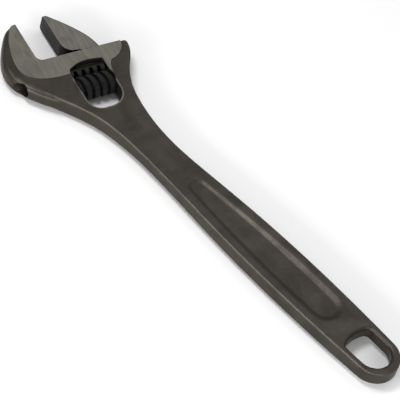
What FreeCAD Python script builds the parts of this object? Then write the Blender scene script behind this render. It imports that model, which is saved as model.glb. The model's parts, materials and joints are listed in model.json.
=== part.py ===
"""Adjustable wrench, nominal 300 mm size, as five separate pieces.

Two frames are used, both in millimetres.
Handle frame: +X runs down the handle from the jaws to the hanging hole, the mid-plane is Z = 0.
Head frame: origin at the throat corner, +X is the way the movable jaw opens, +Y points to the jaw tips.
The finished part lies flat, handle along X, with the origin at the bottom centre of its box.
"""
import FreeCAD, Part

import math
import os
from FreeCAD import Placement, Rotation, Vector

doc = FreeCAD.newDocument("adjustable_wrench")
Z_AXIS = Vector(0, 0, 1)

DIMENSIONS = {
    # whole tool
    "throat_drop": 14.7,         # throat corner below the handle's centre line
    "head_lean": 75.0,           # from the handle axis to the way the jaw slides, in degrees
    "ground_thickness": 10.7,    # across the ground faces of the head and of the movable jaw
    "forged_thickness": 9.8,     # across the forged head beside the ground faces
    "horn_thickness": 9.6,      # across the fixed jaw beside its ground face
    "edge_round": 0.9,           # forged edges of the shank
    "horn_round": 3.2,           # outer side of the fixed jaw
    "ground_bevel": 0.42,        # bevel at the border of the ground faces
    # jaws
    "jaw_gap": 18.65,            # opening at rest
    "jaw_reach": 31.7,           # throat floor to jaw tips
    "throat_round": 4.3,
    "jaw_width": 22.3,           # movable jaw along the slide, at its foot
    "foot_gap": 0.15,            # running gap between the jaw's foot and the throat floor
    "web_half": 2.1,             # half thickness of the web that carries the jaw
    "web_clearance": 0.1,
    "web_start": 2.2,
    "web_end": 20.4,
    # slide
    "bar_depth": 13.3,           # bar axis below the throat floor
    "bar_radius": 4.3,
    "bore_radius": 4.38,
    "bore_flare": 0.75,          # chamfer at the open end of the bore
    "bar_start": -14.0,
    "bar_length": 36.5,
    # knurl and its axle
    "knurl_depth": 23.3,         # knurl axis below the throat floor
    "knurl_radius": 7.2,
    "knurl_root": 5.4,
    "knurl_pitch": 5.1,
    "rack_depth": 4.5,           # teeth of the bar, cut straight across
    "knurl_gap": 0.2,            # end float on each side of the window
    "mesh_clearance": 0.16,      # between the knurl's thread and the rack
    "axle_radius": 2.0,
    "axle_thread": 2.6,
    "axle_clearance": 0.05,
    "axle_seat": 6.0,            # blind hole in the window's inner wall
    "axle_screw_start": 38.2,
    "axle_end": 46.6,
    "spring_wire": 0.35,
    "spring_radius": 2.75,
    "spring_pocket": 3.35,
    "spring_length": 8.0,
    # window
    "window_left": 13.95,
    "window_right": 37.6,
    "window_floor": 43.7,
    "window_left_round": 7.9,
    "window_right_round": 11.6,
    # handle
    "end_centre": 262.6,
    "end_radius": 13.85,
    "hole_left": 245.9,          # hanging hole
    "hole_bow": 24.0,
    "hole_corner": 2.9,
    "hole_half_width": 10.1,
    "hole_end_centre": 261.0,
    "hole_end_radius": 9.85,
    "hole_round": 2.0,
    "recess_start": 120.9,       # recesses
    "recess_start_radius": 7.6,
    "recess_end": 222.6,
    "recess_end_radius": 10.5,
    "recess_side_radius": 850.0,
    "recess_depth": 1.6,
    "recess_slope": 3.8,
    "recess_round": 3.0,
}

sheet = doc.addObject("Spreadsheet::Sheet", "dimensions")
for row, (alias, value) in enumerate(DIMENSIONS.items(), start=1):
    sheet.set(f"A{row}", alias)
    sheet.set(f"B{row}", str(value))
    sheet.setAlias(f"B{row}", alias)
doc.recompute()


def size(alias):
    return float(sheet.get(alias))


def bind(obj, **links):
    """Bind properties of an object to expressions on the sheet."""
    for prop, expression in links.items():
        obj.setExpression(prop.replace("__", "."), expression)


HEAD = Placement(Vector(0, -size("throat_drop"), 0), Rotation(Z_AXIS, size("head_lean")))


def head_point(along, up):
    """A point of the head frame, given in the handle frame."""
    return HEAD.multVec(Vector(along, up, 0))


# ---------------------------------------------------------------- curves and sketches

def line(start, end):
    return Part.LineSegment(start, end)


def arc(start, middle, end):
    return Part.Arc(start, middle, end)


def spline(points):
    curve = Part.BSplineCurve()
    curve.interpolate(points)
    return curve


def flat(points):
    return [Vector(x, y, 0) for x, y in points]


def plane_of(body, role):
    return next(o for o in body.Origin.OriginFeatures if o.Role == role)


def new_body(name):
    body = doc.addObject("PartDesign::Body", name)
    body.Label = name
    return body


def new_sketch(body, name, curves, role="XY_Plane", offset=None):
    """A closed sketch on one of the body's own planes."""
    sketch = body.newObject("Sketcher::SketchObject", name)
    sketch.AttachmentSupport = [(plane_of(body, role), "")]
    sketch.MapMode = "FlatFace"
    if offset is not None:
        sketch.AttachmentOffset = offset
    for curve in curves:
        sketch.addGeometry(curve, False)
    doc.recompute()
    return sketch


def new_pad(body, name, sketch, thickness):
    """A pad that runs the same distance to both sides of its sketch."""
    pad = body.newObject("PartDesign::Pad", name)
    pad.Profile = sketch
    pad.Midplane = True
    bind(pad, Length=thickness)
    body.Tip = pad
    doc.recompute()
    return pad


def new_pocket(body, name, sketch, depth):
    """A pocket that runs the same distance to both sides of its sketch."""
    before = body.Shape.Volume
    pocket = body.newObject("PartDesign::Pocket", name)
    pocket.Profile = sketch
    pocket.Midplane = True
    bind(pocket, Length=depth)
    body.Tip = pocket
    doc.recompute()
    if not body.Shape.Volume < before:
        raise RuntimeError(f"{name} removed nothing")
    return pocket


def new_dressup(body, kind, name, base, wanted, **links):
    """A fillet or chamfer on every edge of a feature that wanted() accepts."""
    edges = [f"Edge{i}" for i, edge in enumerate(base.Shape.Edges, start=1) if wanted(edge)]
    feature = body.newObject(f"PartDesign::{kind}", name)
    feature.Base = (base, edges)
    bind(feature, **links)
    body.Tip = feature
    doc.recompute()
    return feature


def border(edge):
    """True for an edge that runs around the top or bottom of a pad, not up its side."""
    start, end = edge.Vertexes[0].Point, edge.Vertexes[-1].Point
    middle = edge.valueAt((edge.FirstParameter + edge.LastParameter) / 2)
    return abs(middle.z) > 2.0 and abs(start.z - end.z) < 4.0


def new_cylinder(name, radius, length, along, up):
    """A cylinder along the slide direction, placed by expressions in the head frame."""
    cylinder = doc.addObject("Part::Cylinder", name)
    bind(cylinder, Radius=radius, Height=length)
    base = Placement(Vector(0, 0, 0), Rotation(Vector(0, 1, 0), 90))
    cylinder.Placement = base
    bind(cylinder, Placement__Base__x=along, Placement__Base__y=up)
    doc.recompute()
    return cylinder


def join(name, *objects):
    fuse = doc.addObject("Part::MultiFuse", name)
    fuse.Shapes = list(objects)
    fuse.Refine = True
    doc.recompute()
    return fuse


def cut(name, base, tool):
    result = doc.addObject("Part::Cut", name)
    result.Base = base
    result.Tool = tool
    result.Refine = True
    doc.recompute()
    return result


# ---------------------------------------------------------------- wrench body

def horn():
    """The fixed jaw: a lobe with a broad rounded outer side."""
    body = new_body("horn")
    outer = flat([(8, 31.0), (1.0, 31.2), (-4.9, 29.6), (-11.2, 22.8), (-16.7, 13.5), (-19.8, 6.0),
                  (-20.9, -1.5), (-20.2, -7.0), (-17.9, -12.5), (-11.6, -21.0), (-4.6, -28.0), (1.0, -32.0), (7.0, -34.8)])
    inner = flat([(7.0, -34.8), (12, -26), (8, 31.0)])
    curves = [spline(outer)] + [line(a, b) for a, b in zip(inner, inner[1:])]
    pad = new_pad(body, "horn_pad", new_sketch(body, "horn_outline", curves), "dimensions.horn_thickness")

    def outer_side(edge):
        return border(edge) and edge.Length > 60
    new_dressup(body, "Fillet", "horn_fillet", pad, outer_side, Radius="dimensions.horn_round")
    return body


def shank():
    """Neck and handle, with the handle's profile seen from the side, its recesses and its hanging hole."""
    body = new_body("shank")
    end_x, end_r = size("end_centre"), size("end_radius")
    corner = [head_point(9, 0), head_point(56.3, 0)]
    nose = [head_point(56.3, 0), head_point(57.9, -0.7), head_point(58.3, -2.6)]
    upper = [head_point(58.3, -2.6), head_point(57.2, -7.8), head_point(52.0, -17.6), head_point(47.3, -27.2)]
    upper += flat([(47.5, 18.9), (58.5, 15.25), (74, 12.2), (93, 11.2), (117, 12.3), (155, 14.6),
                   (199, 15.5), (end_x, end_r)])
    lower = flat([(end_x, -end_r), (199, -15.5), (155, -14.5), (117, -12.1), (93, -10.9), (78, -10.8),
                  (64.9, -11.6), (53.4, -13.5), (43.2, -16.7), (33.85, -20.8), (22.9, -26.0), (10.9, -31.0)])
    lower += [head_point(-17.3, -8.2), head_point(-17.3, -5.6), head_point(-15.4, -3.9),
              head_point(-11, -2.6)]
    close = [head_point(-11, -2.6), head_point(9, 0)]
    curves = [line(*corner), arc(*nose), spline(upper),
              arc(Vector(end_x, end_r, 0), Vector(end_x + end_r, 0, 0), Vector(end_x, -end_r, 0)),
              spline(lower), line(*close)]
    new_pad(body, "shank_pad", new_sketch(body, "shank_outline", curves), "dimensions.forged_thickness + 4")

    half = size("forged_thickness") / 2
    top = [(-45, half), (10, half), (34, half), (54, 4.65), (68, 4.25), (80, 3.9), (95, 3.65), (117, 3.8),
           (155, 4.2), (199, 4.5), (240, 4.5), (290, 4.45)]
    for side in (1, -1):
        run = flat([(x, side * z) for x, z in top])
        far = flat([(290, side * 9), (-45, side * 9)])
        curves = [line(far[1], run[0]), line(run[0], run[1]), spline(run[1:]), line(run[-1], far[0]),
                  line(*far)]
        name = "upper_profile" if side > 0 else "lower_profile"
        sketch = new_sketch(body, name, curves, role="XZ_Plane")
        new_pocket(body, name + "_cut", sketch, "120")
    new_dressup(body, "Fillet", "shank_fillet", body.Tip, border, Radius="dimensions.edge_round")

    sketch = new_sketch(body, "hanging_hole_outline", hanging_hole_curves())
    hole = new_pocket(body, "hanging_hole", sketch, "40")

    def rim(edge):
        middle = edge.BoundBox.Center
        return border(edge) and 244 < middle.x < 272 and abs(middle.y) < 11 and edge.BoundBox.XMax < 271.5
    new_dressup(body, "Fillet", "hanging_hole_fillet", hole, rim, Radius="dimensions.hole_round")
    recess(body, 1)
    recess(body, -1)
    return body


def hanging_hole_curves():
    """The hanging hole: a gently bowed end, two small corners, two nearly parallel sides and a round end."""
    left, bow, corner = size("hole_left"), size("hole_bow"), size("hole_corner")
    half, centre, end = size("hole_half_width"), size("hole_end_centre"), size("hole_end_radius")
    corner_y = half - corner
    bow_x = left + bow
    corner_x = bow_x - math.sqrt((bow - corner) ** 2 - corner_y ** 2)
    along, across = centre - corner_x, -corner_y
    side = math.asin((corner - end) / math.hypot(along, across)) + math.atan2(-across, along)
    bow_turn = math.atan2(corner_y, corner_x - bow_x)

    def around(x, y, radius, angle):
        return Vector(x + radius * math.cos(angle), y + radius * math.sin(angle), 0)

    side_turn = math.pi / 2 - side
    upper = [around(corner_x, corner_y, corner, bow_turn),
             around(corner_x, corner_y, corner, (bow_turn + side_turn) / 2),
             around(corner_x, corner_y, corner, side_turn),
             around(centre, 0, end, side_turn)]
    lower = [Vector(point.x, -point.y, 0) for point in upper]
    return [arc(lower[0], Vector(left, 0, 0), upper[0]),
            arc(*upper[:3]),
            line(upper[2], upper[3]),
            arc(upper[3], Vector(centre + end, 0, 0), lower[3]),
            line(lower[3], lower[2]),
            arc(lower[2], lower[1], lower[0])]


def egg_curves(first, first_radius, second, second_radius, side_radius):
    """An egg along the handle: two round ends of different size and two gently bulging tangent sides."""
    span = second - first
    first_reach, second_reach = side_radius - first_radius, side_radius - second_radius
    centre_x = first + (span ** 2 + first_reach ** 2 - second_reach ** 2) / (2 * span)
    centre = Vector(centre_x, -math.sqrt(first_reach ** 2 - (centre_x - first) ** 2), 0)
    upper = []
    for x, radius in ((first, first_radius), (second, second_radius)):
        outward = Vector(x, 0, 0) - centre
        upper.append(Vector(x, 0, 0) + outward.normalize() * radius)
    lower = [Vector(point.x, -point.y, 0) for point in upper]
    crown = centre + Vector(0, side_radius, 0)
    return [arc(lower[0], Vector(first - first_radius, 0, 0), upper[0]),
            arc(upper[0], crown, upper[1]),
            arc(upper[1], Vector(second + second_radius, 0, 0), lower[1]),
            arc(lower[1], Vector(crown.x, -crown.y, 0), lower[0])]


def recess(body, side):
    """One of the two shallow recesses that lighten the handle, with broad sloping walls and soft edges."""
    name = "recess_upper" if side > 0 else "recess_lower"
    face, depth, slope = 4.5, size("recess_depth"), size("recess_slope")
    sketches = []
    for level, height in (("mouth", face + 0.6), ("floor", face - depth)):
        inset = slope * (face - height) / depth
        curves = egg_curves(size("recess_start"), size("recess_start_radius") - inset,
                            size("recess_end"), size("recess_end_radius") - inset,
                            size("recess_side_radius") - inset)
        offset = Placement(Vector(0, 0, side * height), Rotation())
        sketches.append(new_sketch(body, f"{name}_{level}", curves, offset=offset))
    loft = body.newObject("PartDesign::SubtractiveLoft", name)
    loft.Profile = sketches[0]
    loft.Sections = sketches[1:]
    loft.Ruled = True
    body.Tip = loft
    doc.recompute()

    def recess_edge(edge):
        box = edge.BoundBox
        return 108 < box.XMin and box.XMax < 238 and abs(box.Center.y) < 11.5 and side * box.Center.z > 2 \
            and box.ZLength < 1.2
    return new_dressup(body, "Fillet", name + "_fillet", loft, recess_edge, Radius="dimensions.recess_round")


def ground_faces():
    """The raised faces that are ground flat around the throat."""
    body = new_body("ground_faces")
    tip = flat([(3, 30.1), (-1.2, 30.1), (-3.4, 29.6)])
    outer = flat([(-3.4, 29.6), (-7.9, 23.4), (-12.3, 12.0), (-14.2, 2.0), (-12.8, -6.2), (-7.8, -11.2),
                  (0, -14.0), (8, -14.9), (16.0, -14.6)])
    across = flat([(16.0, -14.6), (36.0, -26.0), (37.7, -26.0)])
    strip = flat([(37.7, -26.0), (39.2, -19.9), (40.7, -15.0), (42.7, -12.1)])
    lobe = flat([(42.7, -12.1), (47.5, -10.4), (52.6, -5.6), (54.1, -2.6)])
    over = flat([(54.1, -2.6), (54.1, 3), (3, 3), (3, 30.1)])
    curves = [line(tip[0], tip[1]), line(tip[1], tip[2]), spline(outer)]
    curves += [line(a, b) for a, b in zip(across, across[1:])]
    curves += [spline(strip), spline(lobe)]
    curves += [line(a, b) for a, b in zip(over, over[1:])]
    sketch = new_sketch(body, "ground_outline", curves)
    pad = new_pad(body, "ground_pad", sketch, "dimensions.ground_thickness")

    def bevelled(edge):
        return border(edge) and isinstance(edge.Curve, Part.BSplineCurve)
    new_dressup(body, "Chamfer", "ground_chamfer", pad, bevelled, Size="dimensions.ground_bevel")
    return body


def throat_tool():
    """The space between the fixed jaw and the throat floor."""
    body = new_body("throat_tool")
    radius = size("throat_round")
    reach = radius * (1 - math.sqrt(0.5))
    curves = [line(Vector(0, 45, 0), Vector(0, radius, 0)),
              arc(Vector(0, radius, 0), Vector(reach, reach, 0), Vector(radius, 0, 0)),
              line(Vector(radius, 0, 0), Vector(75, 0, 0)),
              line(Vector(75, 0, 0), Vector(75, 45, 0)),
              line(Vector(75, 45, 0), Vector(0, 45, 0))]
    new_pad(body, "throat_pad", new_sketch(body, "throat_outline", curves), "40")
    return body


def window_tool():
    """The through window that holds the knurl and leaves room for a thumb."""
    body = new_body("window_tool")
    left, right = size("window_left"), size("window_right")
    floor = -size("window_floor")
    r_left, r_right = size("window_left_round"), size("window_right_round")
    diagonal = math.sqrt(0.5)
    top = flat([(left + 3.2, -10.4), (22.0, -8.3), (28.5, -7.6), (right, -9.0)])
    curves = [
        line(Vector(left, floor + r_left, 0), Vector(left, -13.9, 0)),
        arc(Vector(left, -13.9, 0), Vector(left + 0.9, -11.7, 0), top[0]),
        spline(top),
        line(top[-1], Vector(right, floor + r_right, 0)),
        arc(Vector(right, floor + r_right, 0),
            Vector(right - r_right * (1 - diagonal), floor + r_right * (1 - diagonal), 0),
            Vector(right - r_right, floor, 0)),
        line(Vector(right - r_right, floor, 0), Vector(left + r_left, floor, 0)),
        arc(Vector(left + r_left, floor, 0),
            Vector(left + r_left * (1 - diagonal), floor + r_left * (1 - diagonal), 0),
            Vector(left, floor + r_left, 0)),
    ]
    new_pad(body, "window_pad", new_sketch(body, "window_outline", curves), "40")
    return body


def slide_tool():
    """Bore for the jaw's bar, the slot above it for the web, and the flare where the bore comes out."""
    bore = new_cylinder("bore_tool", "dimensions.bore_radius", "100", "-35", "-dimensions.bar_depth")
    flare = doc.addObject("Part::Cone", "flare_tool")
    bind(flare, Radius1="dimensions.bore_radius + dimensions.bore_flare", Radius2="dimensions.bore_radius",
         Height="9")
    flare.Placement = Placement(Vector(-22.5, 0, 0), Rotation(Vector(0, 1, 0), 90))
    bind(flare, Placement__Base__y="-dimensions.bar_depth")
    slot = doc.addObject("Part::Box", "slot_tool")
    bind(slot, Length="80", Height="2 * (dimensions.web_half + dimensions.web_clearance)",
         Width="dimensions.bar_depth + 1", Placement__Base__x="dimensions.web_start - 0.8",
         Placement__Base__y="-dimensions.bar_depth",
         Placement__Base__z="-(dimensions.web_half + dimensions.web_clearance)")
    doc.recompute()
    return join("slide_tool", bore, flare, slot)


def axle_tool():
    """The stepped hole for the knurl's axle: blind at the inner wall, wide where the screw end goes in."""
    shaft = new_cylinder("axle_hole", "dimensions.axle_radius + dimensions.axle_clearance", "40",
                         "dimensions.window_left - dimensions.axle_seat - 0.3", "-dimensions.knurl_depth")
    screw = new_cylinder("screw_hole", "dimensions.axle_thread + dimensions.axle_clearance", "30",
                         "dimensions.axle_screw_start - 0.2", "-dimensions.knurl_depth")
    return join("axle_tool", shaft, screw)


def wrench_body():
    head_parts = [horn(), ground_faces()]
    for part in head_parts:
        part.Placement = HEAD
    forging = join("forging", shank(), *head_parts)
    tools = [throat_tool(), window_tool(), slide_tool(), axle_tool()]
    for tool in tools:
        tool.Placement = HEAD
    machined = cut("wrench_body", forging, join("machining", *tools))
    return machined


# ---------------------------------------------------------------- knurl and rack

def thread_profile(root, crest, pitch, gap):
    """Ridge of the knurl's thread at the start of its helix, gap wider on each flank."""
    half_root = pitch * 0.41 + gap
    half_crest = pitch * 0.26 + gap
    points = [Vector(root, 0, -half_root), Vector(crest + gap, 0, -half_crest),
              Vector(crest + gap, 0, half_crest), Vector(root, 0, half_root)]
    return Part.makePolygon(points + points[:1])


def thread_solid(root, crest, pitch, gap, turns_before, turns_after):
    """A helical ridge about the Z axis that passes through Z = 0 on the +X side."""
    start = -turns_before * pitch
    helix = Part.makeHelix(pitch, (turns_before + turns_after) * pitch, (root + crest) / 2)
    helix.translate(Vector(0, 0, start))
    profile = thread_profile(root, crest, pitch, gap)
    profile.translate(Vector(0, 0, start))
    return Part.Wire(helix.Edges).makePipeShell([profile], True, True)


def knurl():
    """The knurl: a right-hand worm, drilled for its axle and counterbored for the spring."""
    length = size("window_right") - size("window_left") - 2 * size("knurl_gap")
    root, crest, pitch = size("knurl_root"), size("knurl_radius"), size("knurl_pitch")
    ridge = thread_solid(root - 0.3, crest, pitch, 0.0, 4, 4)
    core = Part.makeCylinder(root, length, Vector(0, 0, -length / 2))
    envelope = Part.makeCylinder(crest + 1, length, Vector(0, 0, -length / 2))
    blank = core.fuse(ridge.common(envelope))
    bore = Part.makeCylinder(size("axle_radius") + size("axle_clearance"), length + 2,
                             Vector(0, 0, -length / 2 - 1))
    pocket = Part.makeCylinder(size("spring_pocket"), size("spring_length") + 1,
                               Vector(0, 0, -length / 2 - 1))
    shape = blank.cut(bore).cut(pocket).removeSplitter()
    feature = doc.addObject("Part::Feature", "knurl")
    feature.Shape = shape
    return feature


def knurl_place():
    """The knurl's axis in the head frame: from the window's middle, along the slide."""
    middle = (size("window_left") + size("window_right")) / 2
    return Placement(Vector(middle, -size("knurl_depth"), 0), Rotation(Vector(0, 1, 0), 90))


def movable_jaw():
    """The movable jaw, with the web and the toothed bar that carry it in the head."""
    body = new_body("jaw_blank")
    width, foot = size("jaw_width"), size("foot_gap")
    reach = size("jaw_reach")
    curves = [
        line(Vector(0, 8.6, 0), Vector(0, reach, 0)),
        spline(flat([(0, reach), (2.1, reach - 0.1), (4.5, reach - 2.3), (8.7, 24.7), (13.0, 19.4),
                     (17.0, 13.8), (20.0, 8.4), (21.6, 3.9), (width, foot)])),
        line(Vector(width, foot, 0), Vector(10.2, foot, 0)),
        line(Vector(10.2, foot, 0), Vector(9.6, 0.9, 0)),
        line(Vector(9.6, 0.9, 0), Vector(4.9, 1.5, 0)),
        arc(Vector(4.9, 1.5, 0), Vector(1.7, 3.8, 0), Vector(0, 8.6, 0)),
    ]
    pad = new_pad(body, "jaw_pad", new_sketch(body, "jaw_outline", curves), "dimensions.ground_thickness")

    web = doc.addObject("Part::Box", "jaw_web")
    bind(web, Length="dimensions.web_end - dimensions.web_start", Height="2 * dimensions.web_half",
         Width="dimensions.bar_depth + 3", Placement__Base__x="dimensions.web_start",
         Placement__Base__y="-dimensions.bar_depth", Placement__Base__z="-dimensions.web_half")
    bar = new_cylinder("jaw_bar", "dimensions.bar_radius", "dimensions.bar_length",
                       "dimensions.bar_start", "-dimensions.bar_depth")

    def back(edge):
        return border(edge) and isinstance(edge.Curve, Part.BSplineCurve)
    rounded = doc.addObject("Part::Fillet", "jaw_rounded")
    rounded.Base = body
    rounded.Edges = [(i, 1.6, 2.2) if edge.Vertexes[0].Point.y > edge.Vertexes[-1].Point.y else (i, 2.2, 1.6)
                     for i, edge in enumerate(body.Shape.Edges, start=1) if back(edge)]
    doc.recompute()
    blank = join("jaw_with_bar", rounded, web, bar)

    root, crest, pitch = size("knurl_root"), size("knurl_radius"), size("knurl_pitch")
    rack = doc.addObject("Part::Feature", "rack_tool")
    rack.Shape = thread_solid(root - 0.6, crest, pitch, size("mesh_clearance"), 8, 8)
    rack.Placement = Placement(Vector(-size("jaw_gap"), 0, 0), Rotation()).multiply(knurl_place())
    doc.recompute()
    meshed = cut("jaw_meshed", blank, rack)
    return cut("movable_jaw", meshed, rack_grooves())


def rack_grooves():
    """Straight grooves across the underside of the bar, in step with the knurl's thread at rest."""
    pitch, depth = size("knurl_pitch"), size("rack_depth")
    under = -size("bar_depth") - size("bar_radius")
    lead = pitch / (2 * math.pi * (size("knurl_radius") - 0.9))
    middle = (size("window_left") + size("window_right")) / 2 - size("jaw_gap") + pitch / 4
    half_low, half_top, reach = 0.31 * pitch, 0.22 * pitch, 6.0
    profile = [Vector(-half_low, under - 1, 0), Vector(-half_top, under + depth, 0),
               Vector(half_top, under + depth, 0), Vector(half_low, under - 1, 0)]
    groove = Part.Face(Part.makePolygon(profile + profile[:1]))
    groove = groove.extrude(Vector(2 * reach * lead, 0, 2 * reach))
    shapes = []
    for step in range(-5, 6):
        tool = groove.copy()
        tool.translate(Vector(middle + step * pitch - reach * lead, 0, -reach))
        shapes.append(tool)
    feature = doc.addObject("Part::Feature", "rack_grooves")
    feature.Shape = Part.Compound(shapes)
    return feature


def knurl_axle():
    """The screw that the knurl turns on: a plain shaft with a wider slotted screw end."""
    shaft = new_cylinder("axle_shaft", "dimensions.axle_radius",
                         "dimensions.axle_screw_start - dimensions.window_left + dimensions.axle_seat + 1",
                         "dimensions.window_left - dimensions.axle_seat", "0")
    screw = new_cylinder("axle_screw", "dimensions.axle_thread",
                         "dimensions.axle_end - dimensions.axle_screw_start",
                         "dimensions.axle_screw_start", "0")
    slot = doc.addObject("Part::Box", "axle_slot")
    bind(slot, Length="3", Width="1", Height="8",
         Placement__Base__x="dimensions.axle_end - 1.4",
         Placement__Base__y="-0.5", Placement__Base__z="-4")
    doc.recompute()
    return cut("knurl_pin", join("axle_solid", shaft, screw), slot)


def knurl_spring():
    """The small coil spring that takes up the knurl's end float."""
    wire, radius = size("spring_wire"), size("spring_radius")
    turns = 5
    rise = size("spring_length") - 2 * wire - 0.3
    helix = Part.makeHelix(rise / turns, rise, radius)
    ring = Part.Wire([Part.Circle(Vector(radius, 0, 0), Vector(0, 1, 0), wire).toShape()])
    shape = Part.Wire(helix.Edges).makePipeShell([ring], True, True)
    feature = doc.addObject("Part::Feature", "knurl_spring")
    feature.Shape = shape
    return feature


# ---------------------------------------------------------------- assembly

def assemble():
    opened = Placement(Vector(size("jaw_gap"), 0, 0), Rotation())
    on_axis = Placement(Vector(0, -size("knurl_depth"), 0), Rotation())
    spring_start = size("window_left") + size("spring_wire") + 0.05
    spring_place = Placement(Vector(spring_start, -size("knurl_depth"), 0), Rotation(Vector(0, 1, 0), 90))
    placed = [
        (wrench_body(), Placement()),
        (movable_jaw(), HEAD.multiply(opened)),
        (knurl(), HEAD.multiply(knurl_place())),
        (knurl_axle(), HEAD.multiply(on_axis)),
        (knurl_spring(), HEAD.multiply(spring_place)),
    ]
    for node, place in placed:
        node.Placement = place
    doc.recompute()
    box = FreeCAD.BoundBox()
    for node, _ in placed:
        box.add(node.Shape.optimalBoundingBox(False, False))
    to_origin = Placement(Vector(-box.Center.x, -box.Center.y, -box.ZMin), Rotation())
    for node, place in placed:
        node.Placement = to_origin.multiply(place)
    doc.recompute()
    return [node for node, _ in placed]


nodes = assemble()
for obj in doc.Objects:
    if any(flag in obj.State for flag in ("Invalid", "Error")):
        raise RuntimeError(f"{obj.Label} failed: {obj.State}")
for node in nodes:
    if node.Shape.isNull() or not node.Shape.isValid():
        raise RuntimeError(f"{node.Label} has no valid shape")
os.makedirs("parts", exist_ok=True)
print(f"handle frame's origin at {tuple(nodes[0].Placement.Base)}")
for node in nodes:
    node.Shape.exportStep(f"parts/{node.Label}.step")
    box = node.Shape.optimalBoundingBox(False, False)
    print(f"{node.Label}: {len(node.Shape.Solids)} solid, {node.Shape.Volume:.0f} mm3, "
          f"{box.XLength:.1f} x {box.YLength:.1f} x {box.ZLength:.1f} mm")
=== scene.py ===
import json

import bpy
from mathutils import Matrix, Vector

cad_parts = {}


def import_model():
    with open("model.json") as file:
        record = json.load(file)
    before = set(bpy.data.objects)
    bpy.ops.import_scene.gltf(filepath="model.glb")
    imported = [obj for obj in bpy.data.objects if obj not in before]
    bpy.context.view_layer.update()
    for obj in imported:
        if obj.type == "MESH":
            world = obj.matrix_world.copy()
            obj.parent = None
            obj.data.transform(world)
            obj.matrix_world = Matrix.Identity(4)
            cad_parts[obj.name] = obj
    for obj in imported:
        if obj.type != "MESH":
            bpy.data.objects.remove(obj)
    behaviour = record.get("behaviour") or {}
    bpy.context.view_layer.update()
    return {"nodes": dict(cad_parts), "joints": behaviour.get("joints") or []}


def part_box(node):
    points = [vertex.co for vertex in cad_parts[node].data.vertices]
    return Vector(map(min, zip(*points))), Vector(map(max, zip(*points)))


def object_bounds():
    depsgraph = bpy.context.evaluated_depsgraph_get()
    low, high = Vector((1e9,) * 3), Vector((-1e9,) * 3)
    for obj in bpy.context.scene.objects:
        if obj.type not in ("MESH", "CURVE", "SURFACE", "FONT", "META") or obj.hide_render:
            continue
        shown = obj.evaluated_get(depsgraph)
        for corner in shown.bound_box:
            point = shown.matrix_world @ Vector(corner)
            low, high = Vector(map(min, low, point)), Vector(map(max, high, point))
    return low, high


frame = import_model()

# The wrench's own directions and sizes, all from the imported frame, in metres.
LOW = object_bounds()[0]
JOINTS = {joint["name"]: joint for joint in frame["joints"]}
SLIDE = Vector(JOINTS["jaw_slide"]["axis"]).normalized()
JAW_AXIS = Vector((-SLIDE.y, SLIDE.x, 0))
KNURL_CENTRE = Vector(JOINTS["knurl_spin"]["pos_m"])
BORE_AXIS = KNURL_CENTRE + JAW_AXIS * 0.010     # the jaw's bore runs 10 mm from the knurl's axle
MIDDLE = (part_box("wrench_body")[0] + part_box("wrench_body")[1]) / 2
HALF_THICKNESS = (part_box("wrench_body")[1].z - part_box("wrench_body")[0].z) / 2
KNURL_RADIUS = (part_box("knurl")[1].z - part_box("knurl")[0].z) / 2
UP = Vector((0, 0, 1))

KNURL_RIBS = 68             # straight ribs rolled round the crest of the knurl's thread
FLOOR_SIZE = 8
FLOOR_GAP = 0.0002          # keeps the floor clear of the wrench's lowest face
CAMERA_OFFSET = Vector((0.567820, -0.765312, 1.010818))     # from the knurl's centre
CAMERA_TURN = Matrix(((0.6803543, -0.64453964, 0.34883618),
                      (0.70215136, 0.43686353, -0.56225771),
                      (0.21000357, 0.62747025, 0.74978636)))


# ---------------------------------------------------------------- shader nodes

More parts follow.
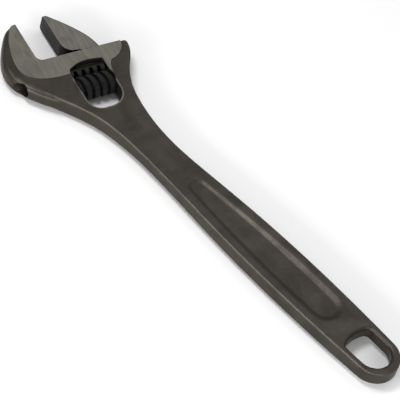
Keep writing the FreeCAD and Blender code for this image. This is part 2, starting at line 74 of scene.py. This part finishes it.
class Shader:
    """Builds one material's nodes. Any input takes a number, a colour or another node's output."""

    def __init__(self, name):
        self.material = bpy.data.materials.new(name)
        self.material.use_nodes = True
        self.nodes = self.material.node_tree.nodes
        self.links = self.material.node_tree.links
        self.bsdf = self.nodes["Principled BSDF"]
        metres = self.nodes.new("ShaderNodeTexCoord").outputs["Object"]
        self.mm = self.vector("SCALE", metres, scale=1000)

    def put(self, socket, value):
        if isinstance(value, bpy.types.NodeSocket):
            self.links.new(value, socket)
        elif value is not None:
            socket.default_value = value

    def math(self, operation, a, b=None, c=None, clamp=False):
        node = self.nodes.new("ShaderNodeMath")
        node.operation = operation
        node.use_clamp = clamp
        for socket, value in zip(node.inputs, (a, b, c)):
            self.put(socket, value)
        return node.outputs[0]

    def vector(self, operation, a, b=None, scale=None):
        node = self.nodes.new("ShaderNodeVectorMath")
        node.operation = operation
        self.put(node.inputs[0], a)
        self.put(node.inputs[1], b)
        if scale is not None:
            self.put(node.inputs["Scale"], scale)
        return node.outputs["Value" if operation == "DOT_PRODUCT" else "Vector"]

    def along(self, direction, origin=Vector()):
        """Distance of the shaded point from origin along a direction, in millimetres."""
        offset = self.vector("SUBTRACT", self.mm, tuple(origin * 1000))
        return self.vector("DOT_PRODUCT", offset, tuple(direction))

    def combine(self, x, y, z=0.0):
        node = self.nodes.new("ShaderNodeCombineXYZ")
        for socket, value in zip(node.inputs, (x, y, z)):
            self.put(socket, value)
        return node.outputs[0]

    def noise(self, vector, size, detail=3.0, roughness=0.5, distortion=0.0):
        """Smooth noise around 0.5 whose features are about size millimetres across."""
        node = self.nodes.new("ShaderNodeTexNoise")
        self.put(node.inputs["Vector"], vector)
        self.put(node.inputs["Scale"], 1 / size)
        self.put(node.inputs["Detail"], detail)
        self.put(node.inputs["Roughness"], roughness)
        self.put(node.inputs["Distortion"], distortion)
        return node.outputs["Fac"]

    def step(self, value, low, high, out_low=0.0, out_high=1.0):
        """A smooth step from out_low to out_high as value goes from low to high."""
        node = self.nodes.new("ShaderNodeMapRange")
        node.interpolation_type = "SMOOTHSTEP"
        for name, given in (("Value", value), ("From Min", low), ("From Max", high),
                            ("To Min", out_low), ("To Max", out_high)):
            self.put(node.inputs[name], given)
        return node.outputs["Result"]

    def mix(self, factor, a, b, blend="MIX"):
        node = self.nodes.new("ShaderNodeMix")
        node.data_type = "RGBA"
        node.blend_type = blend
        self.put(node.inputs["Factor"], factor)
        self.put(node.inputs[6], a)
        self.put(node.inputs[7], b)
        return node.outputs[2]

    def facing_up(self):
        """1 where the surface lies level, 0 where it stands upright."""
        normal = self.nodes.new("ShaderNodeNewGeometry").outputs["True Normal"]
        return self.math("ABSOLUTE", self.vector("DOT_PRODUCT", normal, tuple(UP)))

    def convex_edges(self, reach_mm):
        """1 along outer edges, where the finish wears off and a highlight is painted, and 0 on open faces.
        """
        node = self.nodes.new("ShaderNodeAmbientOcclusion")
        node.samples = 8
        node.inside = True
        node.only_local = True
        self.put(node.inputs["Distance"], reach_mm / 1000)
        return self.math("SUBTRACT", 1.0, node.outputs["AO"])

    def radius(self, a, b, origin):
        """Distance of the shaded point from the line through origin square to directions a and b."""
        x, y = self.along(a, origin), self.along(b, origin)
        return self.math("SQRT", self.math("ADD", self.math("MULTIPLY", x, x), self.math("MULTIPLY", y, y)))

    def bump(self, layers):
        """Bump from (height 0..1, depth in millimetres) layers, one on top of the other."""
        normal = None
        for height, depth in layers:
            node = self.nodes.new("ShaderNodeBump")
            self.put(node.inputs["Height"], height)
            self.put(node.inputs["Distance"], depth / 1000)
            self.put(node.inputs["Strength"], 1.0)
            self.put(node.inputs["Normal"], normal)
            normal = node.outputs["Normal"]
        self.put(self.bsdf.inputs["Normal"], normal)

    def finish(self, colour, roughness, metallic):
        self.put(self.bsdf.inputs["Base Color"], colour)
        self.put(self.bsdf.inputs["Roughness"], roughness)
        self.put(self.bsdf.inputs["Metallic"], metallic)
        return self.material


def rgb(code):
    """A linear colour from its sRGB hexadecimal code."""
    parts = [int(code[i:i + 2], 16) / 255 for i in (0, 2, 4)]
    return tuple(p / 12.92 if p < 0.04045 else ((p + 0.055) / 1.055) ** 2.4 for p in parts) + (1.0,)


# ---------------------------------------------------------------- finishes

def ground_mask(shader):
    """1 on the two outermost faces, which are ground flat, and 0 everywhere else."""
    height = shader.math("ABSOLUTE", shader.along(UP, MIDDLE))
    half = HALF_THICKNESS * 1000
    return shader.step(height, half - 0.1, half - 0.03)


def worn_and_highlit_edges(shader):
    """1 along outer edges, which are worn and carry a painted highlight; the thin wall round the jaw's bore
    is not an edge, so it's left out.
    """
    edges = shader.step(shader.convex_edges(reach_mm=1.6), 0.12, 0.42)
    patchy = shader.step(shader.noise(shader.mm, 3.0, 3), 0.3, 0.7, 0.7, 1.0)
    wall = shader.step(shader.radius(JAW_AXIS, UP, BORE_AXIS), 6.3, 7.3)
    return shader.math("MULTIPLY", shader.math("MULTIPLY", edges, patchy), wall)


def grinding_lines(shader):
    """Fine lines left by the grinding belt, running along the jaws."""
    across, lengthwise = shader.along(SLIDE, MIDDLE), shader.along(JAW_AXIS, MIDDLE)
    waver = shader.math("MULTIPLY", shader.noise(shader.mm, 22, 1), 3.0)
    across = shader.math("ADD", across, waver)
    fine = shader.noise(shader.combine(across, shader.math("MULTIPLY", lengthwise, 0.03)), 0.22, 2)
    broad = shader.noise(shader.combine(across, shader.math("MULTIPLY", lengthwise, 0.05)), 1.6, 3)
    return fine, broad


def forged_steel(name, dark, light, ground, upright_shade_tint, edge_wear_and_highlight):
    """Forged and phosphated steel: mottled dark brown-grey, worn on its edges and brightened there by a
    painted highlight, ground on its outer faces.

    dark, light: the skin's two tones; ground: the ground faces' two tones; the next argument: a tint of
    painted shade that darkens upright faces;
    the last argument: how strongly the edges are worn and painted with a highlight, from 0 to 1.
    """
    shader = Shader(name)
    cloud = shader.noise(shader.mm, 14, 4, 0.55, 0.4)
    grain = shader.noise(shader.mm, 0.55, 3, 0.6)
    peel = shader.noise(shader.mm, 2.6, 2)
    speck = shader.step(shader.noise(shader.mm, 1.1, 2, 0.7), 0.64, 0.72)

    tone = shader.math("ADD", shader.math("MULTIPLY", cloud, 0.7), shader.math("MULTIPLY", grain, 0.45))
    skin = shader.mix(shader.step(tone, 0.35, 0.8), rgb(dark), rgb(light))
    skin = shader.mix(shader.math("MULTIPLY", speck, 0.35), skin, rgb("1d1a17"))
    # Lightens the edges towards 9a958c: real wear, and a painted highlight along them.
    skin = shader.mix(shader.math("MULTIPLY", worn_and_highlit_edges(shader), edge_wear_and_highlight), skin, rgb("9a958c"))

    fine, broad = grinding_lines(shader)
    lines = shader.math("ADD", shader.math("MULTIPLY", fine, 0.6), shader.math("MULTIPLY", broad, 0.4))
    bright = shader.mix(shader.step(lines, 0.3, 0.7), rgb(ground[0]), rgb(ground[1]))
    bright = shader.mix(shader.math("MULTIPLY", shader.step(cloud, 0.45, 0.75), 0.3), bright, rgb(light))

    # Painted shade: upright faces are multiplied by a darker tint, weak on the body and strong on the jaw.
    upright = shader.step(shader.facing_up(), 0.25, 0.85)
    skin = shader.mix(upright, shader.mix(1.0, skin, rgb(upright_shade_tint), "MULTIPLY"), skin)
    mask = ground_mask(shader)
    colour = shader.mix(mask, skin, bright)
    rough_skin = shader.step(tone, 0.3, 0.9, 0.48, 0.38)
    rough = shader.math("ADD", shader.math("MULTIPLY", mask, 0.04), rough_skin)
    scratch = shader.math("MULTIPLY", fine, mask)
    forged = shader.math("MULTIPLY", shader.math("SUBTRACT", 1.0, mask),
                         shader.math("ADD", shader.math("MULTIPLY", peel, 0.6),
                                     shader.math("MULTIPLY", grain, 0.4)))
    shader.bump([(forged, 0.12), (scratch, 0.012)])
    return shader.finish(colour, rough, 0.8)


def knurled_steel(name):
    """Blackened steel with straight knurling on the crest of the thread."""
    shader = Shader(name)
    sideways = SLIDE.cross(UP)
    angle = shader.math("ARCTAN2", shader.along(UP, KNURL_CENTRE), shader.along(sideways, KNURL_CENTRE))
    outside = KNURL_RADIUS * 1000
    crest = shader.step(shader.radius(sideways, UP, KNURL_CENTRE), outside - 0.5, outside - 0.12)
    ribs = shader.math("ABSOLUTE", shader.math("SINE", shader.math("MULTIPLY", angle, KNURL_RIBS / 2)))
    grain = shader.noise(shader.mm, 0.35, 3, 0.6)
    cloud = shader.noise(shader.mm, 3.5, 3)
    height = shader.math("MULTIPLY", ribs, crest)
    colour = shader.mix(shader.step(cloud, 0.3, 0.7), rgb("161617"), rgb("232324"))
    top = shader.math("MULTIPLY", shader.step(height, 0.55, 1.0), shader.step(grain, 0.35, 0.65))
    colour = shader.mix(shader.math("MULTIPLY", top, 0.5), colour, rgb("4a4a4a"))
    shader.bump([(height, 0.25), (grain, 0.03)])
    return shader.finish(colour, shader.step(grain, 0.3, 0.7, 0.34, 0.5), 0.7)


def turned_steel(name, dark, light):
    """Plain turned steel with fine rings about the direction of the slide."""
    shader = Shader(name)
    along = shader.along(SLIDE, KNURL_CENTRE)
    rings = shader.noise(shader.combine(along, 0.0), 0.18, 2)
    cloud = shader.noise(shader.mm, 2.5, 3)
    tone = shader.math("ADD", shader.math("MULTIPLY", rings, 0.5), shader.math("MULTIPLY", cloud, 0.5))
    shader.bump([(rings, 0.02)])
    return shader.finish(shader.mix(shader.step(tone, 0.3, 0.7), rgb(dark), rgb(light)),
                         shader.step(cloud, 0.3, 0.7, 0.36, 0.5), 0.9)


def dress(node, material):
    data = frame["nodes"][node].data
    data.materials.clear()
    data.materials.append(material)


dress("wrench_body", forged_steel(
    "phosphated_steel", dark="38342f", light="4b4741", ground=("68655f", "868379"), upright_shade_tint="ebe8e1", edge_wear_and_highlight=0.7))
# The jaw's skin tones, darker than the body's, are painted shade for its gripping face, which sits in shade
# between the jaws.
dress("movable_jaw", forged_steel(
    "jaw_steel", dark="1e1d1a", light="2c2b27", ground=("6a6761", "86837c"), upright_shade_tint="716e67", edge_wear_and_highlight=0.25))
dress("knurl", knurled_steel("knurl_steel"))
dress("knurl_pin", turned_steel("pin_steel", "242322", "3b3937"))
dress("knurl_spring", turned_steel("spring_steel", "8a8884", "b5b3ae"))


# ---------------------------------------------------------------- floor, light and camera

def floor():
    bpy.ops.mesh.primitive_plane_add(size=FLOOR_SIZE, location=(0, 0, LOW.z - FLOOR_GAP))
    plane = bpy.context.object
    plane.name = "floor"
    shader = Shader("paper")
    cloud = shader.noise(shader.mm, 300, 2)
    plane.data.materials.append(shader.finish(
        shader.mix(cloud, (0.95, 0.95, 0.95, 1), (0.97, 0.97, 0.97, 1)), 0.8, 0.0))


def softbox(name, direction, distance, size, power):
    """A rectangular soft light, distance metres away, that shines on the middle of the wrench."""
    data = bpy.data.lights.new(name, "AREA")
    data.shape = "RECTANGLE"
    data.size, data.size_y = size
    data.energy = power
    light = bpy.data.objects.new(name, data)
    bpy.context.scene.collection.objects.link(light)
    direction = Vector(direction).normalized()
    light.location = MIDDLE + direction * distance
    light.rotation_euler = direction.to_track_quat("Z", "Y").to_euler()


def world(strength):
    made = bpy.data.worlds.new("studio")
    bpy.context.scene.world = made
    made.use_nodes = True
    background = made.node_tree.nodes["Background"]
    background.inputs["Color"].default_value = (1, 1, 1, 1)
    background.inputs["Strength"].default_value = strength


def camera():
    data = bpy.data.cameras.new("camera")
    data.sensor_width = 36
    data.lens = 216
    data.clip_start, data.clip_end = 0.05, 20
    made = bpy.data.objects.new("camera", data)
    bpy.context.scene.collection.objects.link(made)
    made.matrix_world = Matrix.Translation(KNURL_CENTRE + CAMERA_OFFSET) @ CAMERA_TURN.to_4x4()
    bpy.context.scene.camera = made


floor()
world(0.36)
softbox("overhead", (-0.1, 0.6, 0.78), 1.3, (1.0, 1.0), 2.6)
softbox("front", (0.15, -0.95, 0.32), 1.0, (0.9, 0.25), 7.5)
softbox("key", (-0.35, -0.25, 0.92), 1.2, (0.4, 0.4), 6.5)
softbox("right", (0.9, -0.3, 0.5), 1.0, (0.4, 0.4), 2.2)
camera()
bpy.context.scene.view_settings.view_transform = "Standard"
